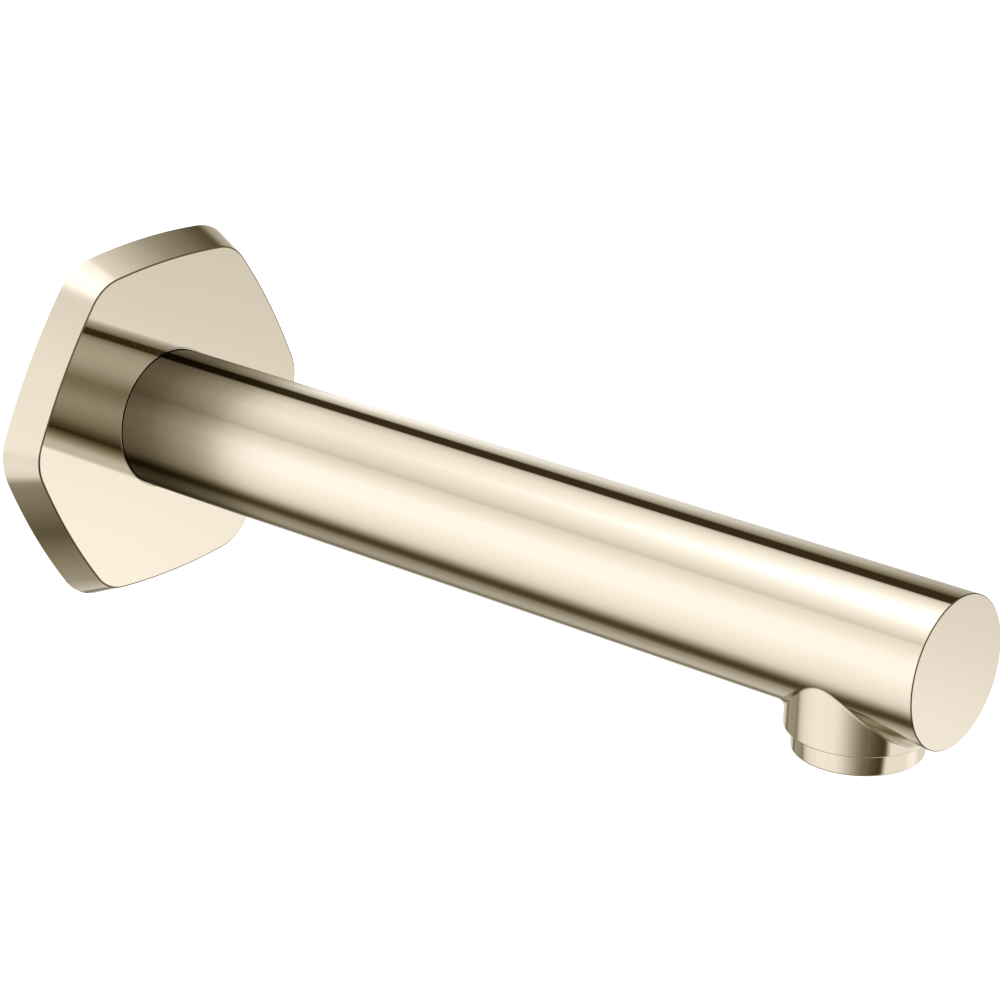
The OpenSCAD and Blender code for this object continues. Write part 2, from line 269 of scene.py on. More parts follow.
@dataclass(frozen=True)
class Thread:
    """A helical screw thread, from its first turn to its last."""

    major_r: float
    root_r: float
    inner_r: float
    pitch: float
    length: float
    steps: int = 96
    crest: tuple[float, ...] = (0.0, 0.3, 0.75, 1.0, 1.0, 0.75, 0.3, 0.0)
    lead_in: float = 0.7

    def sleeve(self, name: str, start: Vector, axis: Axis) -> bpy.types.Object:
        """Makes a closed tube with the thread on its outside.

        Args:
            name: the piece's name.
            start: where the thread begins, on its axis.
            axis: the direction it runs in.

        Returns:
            The tube as a closed solid.
        """
        per_turn = len(self.crest)
        rows = per_turn * (math.ceil(self.length / self.pitch) + 2) + 1
        k, j = np.meshgrid(np.arange(rows + 1), np.arange(self.steps), indexing="ij")
        height = np.clip(self.pitch * (k / per_turn + j / self.steps - 1), 0, self.length)
        run = self.lead_in * self.pitch
        lead = np.clip(np.minimum(height, self.length - height) / run, 0, 1)
        lead = lead * lead * (3 - 2 * lead)
        radius = self.root_r + (self.major_r - self.root_r) * np.array(self.crest)[k % per_turn] * lead
        angle = math.tau * j / self.steps
        outer = np.stack([radius * np.cos(angle), radius * np.sin(angle), height], -1).reshape(-1, 3)
        ring = math.tau * np.arange(self.steps) / self.steps
        circle = np.stack([self.inner_r * np.cos(ring), self.inner_r * np.sin(ring), 0 * ring], -1)
        points = np.concatenate([outer, circle, circle + [0, 0, self.length]])

        def at(row: int, step: int) -> int:
            """The index of a point, carried up a turn where the helix passes its seam."""
            if step == self.steps:
                row, step = row + per_turn, 0
            return min(row, rows) * self.steps + step

        faces = []
        for row in range(rows):
            for step in range(self.steps):
                face = (at(row, step), at(row, step + 1), at(row + 1, step + 1), at(row + 1, step))
                if len(set(face)) == 4:
                    faces.append(face)
        low = (rows + 1) * self.steps
        high = low + self.steps
        top = rows * self.steps
        for step in range(self.steps):
            after = (step + 1) % self.steps
            faces.append((step, low + step, low + after, after))
            faces.append((low + step, high + step, high + after, low + after))
            faces.append((top + step, top + after, high + after, high + step))
        if axis is Axis.ALONG_SPOUT:
            points = points[:, [1, 2, 0]]
        return Bench.shape(name, points + np.array(start), faces)


Nodes = bpy.types.NodeTree
Socket = bpy.types.NodeSocket


class Desk:
    """Lays out shader nodes in a tree."""

    def __init__(self, tree: Nodes) -> None:
        """Clears the tree and keeps it."""
        self.tree = tree
        tree.nodes.clear()

    def add(self, kind: str, inputs: dict | None = None, **settings: object) -> bpy.types.Node:
        """Adds a node.

        Args:
            kind: the node's type without its ShaderNode prefix.
            inputs: values or sockets for its inputs, by name or number.
            settings: the node's own properties.

        Returns:
            The node.
        """
        node = self.tree.nodes.new("ShaderNode" + kind)
        for key, value in settings.items():
            setattr(node, key, value)
        for key, value in (inputs or {}).items():
            if isinstance(value, bpy.types.NodeSocket):
                self.tree.links.new(value, node.inputs[key])
            else:
                node.inputs[key].default_value = value
        return node

    def math(self, operation: str, a: object, b: object = 0.0) -> Socket:
        """Adds a Math node and returns its result."""
        return self.add("Math", {0: a, 1: b}, operation=operation).outputs[0]

    @staticmethod
    def material(name: str) -> tuple[bpy.types.Material, Desk]:
        """Makes an empty material and the desk that lays it out."""
        material = bpy.data.materials.new(name)
        material.use_nodes = True
        return material, Desk(material.node_tree)

    def show(self, shader: bpy.types.Node) -> None:
        """Joins a shader to the material's output."""
        self.add("OutputMaterial", {"Surface": shader.outputs[0]})

    def blend(self, share: Socket, first: Socket | float, second: Socket | float) -> Socket:
        """Mixes two numbers."""
        return self.add("Mix", {0: share, 2: first, 3: second}, data_type="FLOAT").outputs[0]

    def dye(self, share: object, first: object, second: object, way: str = "MIX") -> Socket:
        """Mixes two colours."""
        inputs = {0: share, 6: first, 7: second}
        return self.add("Mix", inputs, data_type="RGBA", blend_type=way).outputs[2]

    def span(self, value: Socket, low: float, high: float, to_low: float = 0.0, to_high: float = 1.0,
             smooth: bool = False) -> Socket:
        """Maps a value from one span to another, held at both ends."""
        kind = "SMOOTHSTEP" if smooth else "LINEAR"
        names = {"Value": value, "From Min": low, "From Max": high, "To Min": to_low, "To Max": to_high}
        return self.add("MapRange", names, interpolation_type=kind).outputs[0]

    def ramp(self, value: Socket, stops: list[tuple[float, tuple[float, float, float]]]) -> Socket:
        """Colours a value by a ramp of (place, colour) stops."""
        node = self.add("ValToRGB", {0: value})
        band = node.color_ramp
        for place, _ in stops[2:]:
            band.elements.new(place)
        for element, (place, colour) in zip(band.elements, stops):
            element.position = place
            element.color = (*colour, 1.0)
        return node.outputs[0]

    def place(self) -> Socket:
        """The piece's own coordinates."""
        return self.add("TexCoord").outputs["Object"]

    def drawn(self, place: Socket, scale: tuple[float, float, float]) -> Socket:
        """Places drawn out or pressed together, for a pattern with a direction."""
        return self.add("Mapping", {"Vector": place, "Scale": scale}).outputs[0]

    def noise(self, place: Socket, size: float, detail: float = 4.0) -> Socket:
        """A cloudy pattern whose patches are about a size across, in metres."""
        return self.add("TexNoise", {"Vector": place, "Scale": 1 / size, "Detail": detail}).outputs[0]

    def bump(self, height: Socket, depth: float, strength: float) -> Socket:
        """A bump of a depth in metres."""
        return self.add("Bump", {"Height": height, "Distance": depth, "Strength": strength}).outputs[0]


@dataclass(frozen=True)
class Finish:
    """A finish: the record's slot it belongs to, and its plain colour."""

    slot: str
    colour: tuple[float, float, float]
    rough: float = 0.4

    def material(self) -> bpy.types.Material:
        """Returns the finish's material, and makes it the first time."""
        name = "finish_" + self.slot
        found = bpy.data.materials.get(name)
        if found:
            return found
        material, desk = Desk.material(name)
        desk.show(self.mix(desk))
        material.diffuse_color = (*self.colour, 1)
        return material

    def mix(self, desk: Desk) -> bpy.types.Node:
        """Lays out the shader."""
        raise NotImplementedError

    def shaded(self, share: float) -> tuple[float, ...]:
        """The plain colour, darkened to a share of itself."""
        return tuple(share * c for c in self.colour)

    def varied(self, desk: Desk, size: float, spread: float) -> Socket:
        """The plain colour with a cloudy change of tone."""
        darker = tuple(c * (1 - spread) for c in self.colour)
        lighter = tuple(min(1.0, c * (1 + spread)) for c in self.colour)
        return desk.ramp(desk.noise(desk.place(), size), [(0.3, darker), (0.7, lighter)])

    def dress(self, piece: bpy.types.Object) -> None:
        """Puts the finish on a piece."""
        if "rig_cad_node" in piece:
            for holder in piece.material_slots:
                holder.material = self.material()
        else:
            piece.data.materials.clear()
            piece.data.materials.append(self.material())


@dataclass(frozen=True)
class PolishedNickel(Finish):
    """Mirror-polished warm nickel plate with faint buffing marks, and a painted dark shade line on its
    marked narrow edges.
    """

    edge_shade_colour: tuple[float, float, float] = (0.16, 0.125, 0.07)

    def mix(self, desk: Desk) -> bpy.types.Node:
        """Lays out the shader."""
        place = desk.place()
        marks = desk.noise(desk.drawn(place, (9.0, 1.0, 9.0)), 12 * MM, 6)
        haze = desk.span(desk.noise(place, 30 * MM, 3), 0.35, 0.7, 0.0, 0.02)
        rough = desk.math("ADD", desk.span(marks, 0.3, 0.75, self.rough, self.rough + 0.03), haze)
        tint = desk.ramp(desk.noise(place, 45 * MM, 2), [(0.3, self.shaded(0.985)), (0.7, self.colour)])
        # Painted shade: faces marked "edge" turn dark brown, standing in for the dark reflection of a
        # narrow polished bevel.
        edge = desk.add("Attribute", attribute_name="edge").outputs["Fac"]
        return desk.add("BsdfPrincipled", {
            "Base Color": desk.dye(edge, tint, (*self.edge_shade_colour, 1)), "Metallic": 1.0, "Roughness": rough,
            "Normal": desk.bump(desk.noise(place, 26 * MM, 1), 0.02 * MM, 0.25)})


@dataclass(frozen=True)
class TurnedBrass(Finish):
    """Brass left as the lathe leaves it, with fine rings along its axis and a little tarnish."""

    def mix(self, desk: Desk) -> bpy.types.Node:
        """Lays out the shader."""
        place = desk.place()
        turned = {"Vector": place, "Scale": 1 / (1.4 * MM), "Distortion": 1.5, "Detail": 2.0}
        rings = desk.add("TexWave", turned, bands_direction="Y").outputs["Fac"]
        tarnish = [(0.25, self.shaded(0.62)), (0.6, self.colour)]
        return desk.add("BsdfPrincipled", {
            "Base Color": desk.ramp(desk.noise(place, 6 * MM, 6), tarnish), "Metallic": 1.0,
            "Roughness": desk.span(rings, 0, 1, self.rough, self.rough + 0.14),
            "Normal": desk.bump(rings, 0.01 * MM, 0.5)})


@dataclass(frozen=True)
class Rubber(Finish):
    """Moulded rubber with a soft sheen and a trace of bloom."""

    def mix(self, desk: Desk) -> bpy.types.Node:
        """Lays out the shader."""
        grain = desk.noise(desk.place(), 0.5 * MM, 5)
        return desk.add("BsdfPrincipled", {
            "Base Color": self.varied(desk, 3 * MM, 0.35), "Specular IOR Level": 0.4,
            "Roughness": desk.span(grain, 0.3, 0.7, self.rough - 0.08, self.rough + 0.12),
            "Normal": desk.bump(grain, 0.03 * MM, 0.4)})


@dataclass(frozen=True)
class Foam(Finish):
    """Closed-cell foam with fine cells."""

    def mix(self, desk: Desk) -> bpy.types.Node:
        """Lays out the shader."""
        cell = {"Vector": desk.place(), "Scale": 1 / (0.45 * MM)}
        cells = desk.add("TexVoronoi", cell).outputs["Distance"]
        return desk.add("BsdfPrincipled", {
            "Base Color": self.varied(desk, 2 * MM, 0.25), "Specular IOR Level": 0.2,
            "Roughness": desk.span(cells, 0, 1, 0.75, 0.95),
            "Normal": desk.bump(cells, 0.12 * MM, 0.8)})


@dataclass(frozen=True)
class Fibre(Finish):
    """Pressed vulcanised fibre with short strands."""

    def mix(self, desk: Desk) -> bpy.types.Node:
        """Lays out the shader."""
        strands = desk.noise(desk.drawn(desk.place(), (1.0, 6.0, 2.0)), 1.2 * MM, 8)
        return desk.add("BsdfPrincipled", {
            "Base Color": desk.ramp(strands, [(0.3, self.shaded(0.6)), (0.65, self.colour)]),
            "Roughness": desk.span(strands, 0, 1, self.rough, self.rough + 0.2),
            "Normal": desk.bump(strands, 0.05 * MM, 0.6)})


@dataclass(frozen=True)
class Steel(Finish):
    """Bright stainless steel, drawn or turned."""

    def mix(self, desk: Desk) -> bpy.types.Node:
        """Lays out the shader."""
        drawn = desk.noise(desk.place(), 0.6 * MM, 5)
        return desk.add("BsdfPrincipled", {
            "Base Color": self.varied(desk, 2 * MM, 0.1), "Metallic": 1.0,
            "Roughness": desk.span(drawn, 0.3, 0.7, self.rough, self.rough + 0.15),
            "Normal": desk.bump(drawn, 0.01 * MM, 0.4)})


@dataclass(frozen=True)
class MouldedPlastic(Finish):
    """Acetal as it leaves the mould: silky, with a fine grain."""

    def mix(self, desk: Desk) -> bpy.types.Node:
        """Lays out the shader."""
        grain = desk.noise(desk.place(), 0.25 * MM, 4)
        return desk.add("BsdfPrincipled", {
            "Base Color": self.varied(desk, 5 * MM, 0.06), "Subsurface Weight": 0.05,
            "Subsurface Scale": 0.5 * MM,
            "Roughness": desk.span(grain, 0.3, 0.7, self.rough - 0.06, self.rough + 0.1),
            "Normal": desk.bump(grain, 0.02 * MM, 0.3)})


NICKEL = PolishedNickel("polished_nickel", (0.93, 0.84, 0.70), 0.015)
BRASS = TurnedBrass("plain_brass", (0.80, 0.58, 0.26), 0.2)
BLACK_RUBBER = Rubber("black_rubber", (0.022, 0.022, 0.024), 0.5)
ORANGE_RUBBER = Rubber("orange_rubber", (0.75, 0.17, 0.03), 0.4)
FOAM = Foam("grey_foam", (0.16, 0.16, 0.17), 0.85)
FIBRE = Fibre("red_fibre", (0.42, 0.05, 0.03), 0.6)
STAINLESS = Steel("stainless_steel", (0.62, 0.61, 0.59), 0.2)
GAUZE = Steel("steel_gauze", (0.66, 0.66, 0.65), 0.25)
WHITE_PLASTIC = MouldedPlastic("white_plastic", (0.80, 0.80, 0.76), 0.4)
GREEN_PLASTIC = MouldedPlastic("green_plastic", (0.16, 0.42, 0.22), 0.4)
GREY_PLASTIC = MouldedPlastic("grey_plastic", (0.09, 0.09, 0.095), 0.4)


def centre_of(node: str) -> Vector:
    """The middle of a CAD node's box."""
    low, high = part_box(node)
    return (low + high) / 2


def dress_node(node: str, finish: Finish) -> None:
    """Gives a carried-over CAD node its finish."""
    finish.dress(frame["nodes"][node])
    LOG.info("%s keeps its shape and takes %s", node, finish.slot)


def seat(piece: bpy.types.Object, body: str, finish: Finish, *nodes: str) -> None:
    """Dresses a new piece, lets it ride on its body and stand for its CAD nodes."""
    finish.dress(piece)
    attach(piece, body)
    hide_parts(*nodes)
    LOG.info("%s: %d faces, rides on %s", piece.name, len(piece.data.polygons), body)


@dataclass
class Spout:
    """The round spout with its outlet neck, blended by a small fillet, and its flat end cap."""

    bore_r: float = 13.5 * MM
    neck_r: float = 15.2 * MM
    fillet: float = 1.6 * MM
    rim_bevel: float = 0.3 * MM
    thread_r: float = 12.0 * MM
    seat_r: float = 9.8 * MM
    seat_low: float = -10.99 * MM
    seat_top: float = -7.99 * MM
    screw_way_r: float = 2.0 * MM
    screw_way_z: float = -14.0 * MM
    drill_length: float = 12.0 * MM
    drill_spare: float = 2.0 * MM
    seat_rise: float = 5.0 * MM
    seat_block: float = 20.0 * MM
    cap_spigot: float = 3.0 * MM
    cap_edge: float = 0.22 * MM
    spigot_gap: float = 0.03 * MM
    spigot_bevel: float = 0.4 * MM
    patch: float = 19.0 * MM
    easing: float = 1.3
    around: int = 192
    along_patch: int = 40
    along_rest: int = 24
    patch_loops: int = 14
    fillet_steps: int = 12
    neck_steps: int = 5
    rim_steps: int = 3
    drill_sides: int = 128

    SAME_PLACE = 0.003 * MM
    ON_TUBE = 0.01 * MM
    ALIKE = 0.85

    def __post_init__(self) -> None:
        """Reads the tube's and the outlet's places from the frame."""
        low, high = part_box("spout_body")
        self.tube_r = high.x
        self.front, self.rear, self.rim = low.y, high.y, low.z
        self.outlet_y = centre_of("aerator_housing").y
        self.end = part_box("end_cap")[0].y
        self.screw_y = centre_of("set_screw").y
        self.normals: list[tuple[Vector, Vector]] = []

    def build(self) -> None:
        """Builds and dresses the tube and the cap."""
        tube = self.skin()
        Bench.cut(tube, self.core())
        reach = self.seat_low - (self.rim - self.drill_spare)
        for radius, length, y, z, sides in (
            (self.thread_r, reach, self.outlet_y, self.seat_low - reach / 2, 96),
            (self.seat_r, self.drill_length, self.outlet_y, self.seat_low + self.seat_rise, 96),
            (self.screw_way_r, self.drill_length, self.screw_y, self.screw_way_z, 48),
        ):
            Bench.drill(tube, radius, length, middle(y, z), Axis.UPRIGHT, sides)
        Bench.soften(tube, 40)
        self.true_up(tube)
        seat(tube, "root", NICKEL, "spout_body")
        seat(self.cap(), "root", NICKEL, "end_cap")

    def ball(self, turn: float) -> Vector:
        """Where the fillet's rolling ball stands, at an angle about the outlet."""
        reach = self.neck_r + self.fillet
        x = reach * math.cos(turn)
        drop = math.sqrt((self.tube_r + self.fillet) ** 2 - x * x)
        return Vector((x, self.outlet_y + reach * math.sin(turn), -drop))

    def skin(self) -> bpy.types.Object:
        """Makes the outside of the tube, the fillet and the neck as one closed skin.

        The fillet is the path of a ball that rolls round the joint, which no bevel draws true enough
        for a mirror finish, so the points are placed one by one.

        Returns:
            The closed skin.
        """
        step = math.tau / self.around
        half = self.around // 2
        points: list[Vector] = []
        grid: dict[tuple[int, int], int] = {}
        faces: list[tuple[int, ...]] = []

        def keep(place: Vector, normal: Vector) -> int:
            """Stores a point with the direction it faces."""
            points.append(place)
            self.normals.append((place, normal))
            return len(points) - 1

        def on_tube(angle: float, y: float) -> int:
            """Stores a point of the tube, at an angle from its underside."""
            out = Vector((math.sin(angle), 0, -math.cos(angle)))
            return keep(out * self.tube_r + middle(y), out)

        rows = [self.outlet_y - self.patch + 2 * self.patch * i / self.along_patch
                for i in range(self.along_patch + 1)]
        rows[0] = self.front
        last = rows[-1]
        rows += [last + (self.rear - last) * i / self.along_rest for i in range(1, self.along_rest + 1)]
        for row, y in enumerate(rows):
            for column in range(self.around):
                inside = 0 < row < self.along_patch and 0 < column < half
                if not inside:
                    grid[column, row] = on_tube(column * step - math.pi / 2, y)
        for row in range(len(rows) - 1):
            for column in range(half if row < self.along_patch else 0, self.around):
                after = (column + 1) % self.around
                faces.append((grid[column, row], grid[after, row],
                              grid[after, row + 1], grid[column, row + 1]))
        for row in (0, len(rows) - 1):
            faces.append(tuple(grid[c, row] for c in range(self.around)))

        edge = [(c, 0) for c in range(half)] + [(half, r) for r in range(self.along_patch)]
        edge += [(half - c, self.along_patch) for c in range(half)]
        edge += [(0, self.along_patch - r) for r in range(self.along_patch)]
        loops = [[grid[key] for key in edge]]
        spread = [(c * step - math.pi / 2, rows[r]) for c, r in edge]
        turns = [math.atan2((y - self.outlet_y) / self.patch, a / (math.pi / 2)) for a, y in spread]
        centres = [self.ball(t) for t in turns]
        share = self.tube_r / (self.tube_r + self.fillet)
        touch = [(math.asin(c.x * share / self.tube_r), c.y) for c in centres]
        for i in range(1, self.patch_loops + 1):
            mix = 1 - (1 - i / self.patch_loops) ** self.easing
            loops.append([on_tube(a + (b - a) * mix, y + (z - y) * mix)
                          for (a, y), (b, z) in zip(spread, touch)])
        for i in range(1, self.fillet_steps + 1):
            loop = []
            for turn, centre in zip(turns, centres):
                to_tube = Vector((-centre.x, 0, -centre.z)).normalized()
                to_neck = Vector((-math.cos(turn), -math.sin(turn), 0))
                out = to_tube.slerp(to_neck, i / self.fillet_steps).normalized()
                loop.append(keep(centre + out * self.fillet, -out))
            loops.append(loop)
        neck_end = self.rim + self.rim_bevel
        for i in range(1, self.neck_steps + 1):
            loop = []
            for turn, centre in zip(turns, centres):
                out = Vector((math.cos(turn), math.sin(turn), 0))
                z = centre.z + (neck_end - centre.z) * i / self.neck_steps
                loop.append(keep(out * self.neck_r + middle(self.outlet_y, z), out))
            loops.append(loop)
        for swing in quarter(self.rim_steps)[1:]:
            loop = []
            for turn in turns:
                out = Vector((math.cos(turn), math.sin(turn), 0))
                r = self.neck_r - self.rim_bevel * (1 - math.cos(swing))
                z = neck_end - self.rim_bevel * math.sin(swing)
                normal = out * math.cos(swing) + middle(z=-math.sin(swing))
                loop.append(keep(out * r + middle(self.outlet_y, z), normal))
            loops.append(loop)
        count = len(edge)
        for outer, inner in zip(loops, loops[1:]):
            for i in range(count):
                j = (i + 1) % count
                faces.append((outer[i], outer[j], inner[j], inner[i]))
        faces.append(tuple(loops[-1]))
        return Bench.shape("spout_tube", np.array([tuple(p) for p in points]), faces)

    def core(self) -> bpy.types.Object:
        """Makes the bore's drill, which leaves the aerator's seat standing."""
        length = self.rear - self.front + self.drill_spare
        core = Bench.rod("bore drill", self.bore_r, length, middle((self.rear + self.front) / 2),
                         Axis.ALONG_SPOUT, self.drill_sides)
        Bench.drill(core, self.neck_r, self.seat_block,
                    middle(self.outlet_y, self.seat_top - self.seat_block / 2), Axis.UPRIGHT,
                    self.drill_sides)
        return core

    def true_up(self, tube: bpy.types.Object) -> None:
        """Gives every corner of the polished skin the exact direction it faces."""
        tree = KDTree(len(self.normals))
        for i, (place, _) in enumerate(self.normals):
            tree.insert(place, i)
        tree.balance()
        mesh = tube.data
        found: dict[int, Vector] = {}
        for vertex in mesh.vertices:
            _, index, gap = tree.find(vertex.co)
            if gap < self.SAME_PLACE:
                found[vertex.index] = self.normals[index][1]
            elif abs(math.hypot(vertex.co.x, vertex.co.z) - self.tube_r) < self.ON_TUBE:
                found[vertex.index] = Vector((vertex.co.x, 0, vertex.co.z)).normalized()
        corners = [Vector(c.vector) for c in mesh.corner_normals]
        for face in mesh.polygons:
            for loop, vertex in zip(face.loop_indices, face.vertices):
                exact = found.get(vertex)
                if exact is not None and exact.dot(face.normal) > self.ALIKE:
                    corners[loop] = exact
        mesh.normals_split_custom_set(corners)

    def cap(self) -> bpy.types.Object:
        """Turns the end cap: a flat disc with a small rounded edge, and a spigot behind it."""
        edge = self.cap_edge
        rounded = [(self.tube_r - edge * (1 - math.sin(a)), self.end + edge * (1 - math.cos(a)))
                   for a in quarter(4)]
        spigot, back = self.bore_r - self.spigot_gap, self.front + self.cap_spigot
        outline = [(0, self.end), *rounded, (self.tube_r, self.front), (spigot, self.front),
                   (spigot, back - self.spigot_bevel), (spigot - self.spigot_bevel, back), (0, back)]
        cap = Bench.turn("front_cap", outline, Axis.ALONG_SPOUT, middle(), self.around)
        Bench.polish(cap)
        # Painted shade: the cap's rounded front edge is marked for the nickel's dark shade line.
        Bench.mark_painted_edge_shade(cap, self.end + edge, self.tube_r - edge)
        return cap


@dataclass
class WallPlate:
    """The six-sided wall plate with its collar, its seal and its foam gasket."""

    flats: float = 75.6 * MM
    stretch: float = 1.015
    spread: float = 3.6 * MM
    bow: float = 150.0 * MM
    corner: float = 11.0 * MM
    edge: float = 0.3 * MM
    face_wall: float = 2.2 * MM
    rim_wall: float = 1.4 * MM
    ledge: float = 3.7 * MM
    gasket: float = 2.3 * MM
    hole_r: float = 16.1 * MM
    collar_r: float = 19.7 * MM
    collar_back: float = -0.6 * MM
    groove_r: float = 18.06 * MM
    groove_w: float = 2.4 * MM
    hole_bevel: float = 0.25 * MM
    rim_bevel: float = 0.15 * MM
    rim_inset: float = 0.12 * MM
    spare: float = 0.5 * MM
    side_points: int = 21
    corner_points: int = 13

    # The share of the front rounding that takes the painted shade line.
    EDGE_SHADE_REACH = 0.8

    def __post_init__(self) -> None:
        """Reads the plate's places from the frame."""
        low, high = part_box("escutcheon")
        self.front, self.rim = low.y, high.y
        self.groove_y = centre_of("escutcheon_o_ring").y

    def build(self) -> None:
        """Builds the plate and dresses its seal and gasket."""
        plate = self.plate()
        seat(plate, "wall_plate", NICKEL, "escutcheon")
        plate.visible_glossy = False
        dress_node("escutcheon_o_ring", BLACK_RUBBER)
        dress_node("wall_gasket", FOAM)
        for node in ("escutcheon_o_ring", "wall_gasket"):
            frame["nodes"][node].visible_glossy = False

    def outline(self, y: float, inset: float) -> list[Vector]:
        """The plate's outline at a distance from the wall.

        Args:
            y: the place along the spout.
            inset: how far the outline lies inside the sloping skirt.

        Returns:
            The outline's points, in order.
        """
        grow = self.spread * (1 + y / -self.front) - inset
        apothem, bow, corner = self.flats / 2 + grow, self.bow + grow, self.corner + grow
        c, s = math.cos(math.pi / 3), math.sin(math.pi / 3)
        sink = bow - apothem
        reach = math.sqrt((bow - corner) ** 2 - (sink * c) ** 2) - sink * s
        end = math.atan2(reach * s + sink, reach * c)
        side = [(bow * math.cos(a), bow * math.sin(a) - sink)
                for a in np.linspace(math.pi - end, end, self.side_points)]
        rounded = [(reach * c + corner * math.cos(a), reach * s + corner * math.sin(a))
                   for a in np.linspace(end, math.tau / 3 - end, self.corner_points)[1:-1]]
        points = []
        for k in range(6):
            ck, sk = math.cos(-math.pi / 3 * k), math.sin(-math.pi / 3 * k)
            points += [Vector(((x * ck - z * sk) * self.stretch, y, x * sk + z * ck))
                       for x, z in side + rounded]
        return points

    def slab(self, name: str, stations: list[tuple[float, float]]) -> bpy.types.Object:
        """Draws the outline at each station and bridges them into a closed slab.

        Args:
            name: the slab's name.
            stations: places as (y, inset), from the front to the back.

        Returns:
            The slab.
        """
        loops = []
        for y, inset in stations:
            loops.append(Bench.draw(f"{name} {y}", self.outline(y, inset), closed=True))
            bpy.ops.object.mode_set(mode="OBJECT")
        Bench.clear()
        for loop in loops:
            loop.select_set(True)
        slab = loops[0]
        bpy.context.view_layer.objects.active = slab
        bpy.ops.object.join()
        slab.name = name
        bpy.ops.object.mode_set(mode="EDIT")
        bpy.ops.mesh.select_all(action="SELECT")
        bpy.ops.mesh.bridge_edge_loops()
        for y in (stations[0][0], stations[-1][0]):
            Bench.pick(slab, lambda place, y=y: abs(place.y - y) < Bench.SLIVER)
            bpy.ops.mesh.edge_face_add()
        return Bench.close(slab)

    def plate(self) -> bpy.types.Object:
        """Makes the plate: a rounded front edge, sloping sides, a hollow back and a grooved collar."""
        front = [(self.front + self.edge * (1 - math.sin(a)), self.edge * (1 - math.cos(a)))
                 for a in quarter(4)]
        stations = front[::-1] + [(self.front / 2, 0.0), (self.rim - self.rim_bevel, 0.0),
                                  (self.rim, self.rim_inset)]
        plate = self.slab("plate_shell", stations)
        for depth, inset in ((self.front + self.face_wall, self.rim_wall + self.ledge),
                             (-self.gasket, self.rim_wall)):
            Bench.cut(plate, self.slab("hollow", [(depth, inset), (self.spare, inset)]))
        start = self.front + self.face_wall / 2
        Bench.weld(plate, Bench.rod("collar", self.collar_r, self.collar_back - start,
                                    middle((start + self.collar_back) / 2), Axis.ALONG_SPOUT, 144))
        groove = (self.groove_y - self.groove_w / 2, self.groove_y + self.groove_w / 2)
        drill = [(0, self.front - MM), (self.hole_r + MM + self.hole_bevel, self.front - MM),
                 (self.hole_r, self.front + self.hole_bevel), (self.hole_r, groove[0]),
                 (self.groove_r, groove[0]), (self.groove_r, groove[1]), (self.hole_r, groove[1]),
                 (self.hole_r, MM), (0, MM)]
        Bench.cut(plate, Bench.turn("hole drill", drill, Axis.ALONG_SPOUT, middle(), 192))
        Bench.polish(plate, 40)
        # Painted shade: the plate's rounded front edge is marked for the nickel's dark shade line.
        Bench.mark_painted_edge_shade(plate, self.front + self.EDGE_SHADE_REACH * self.edge, self.collar_r)
        return plate


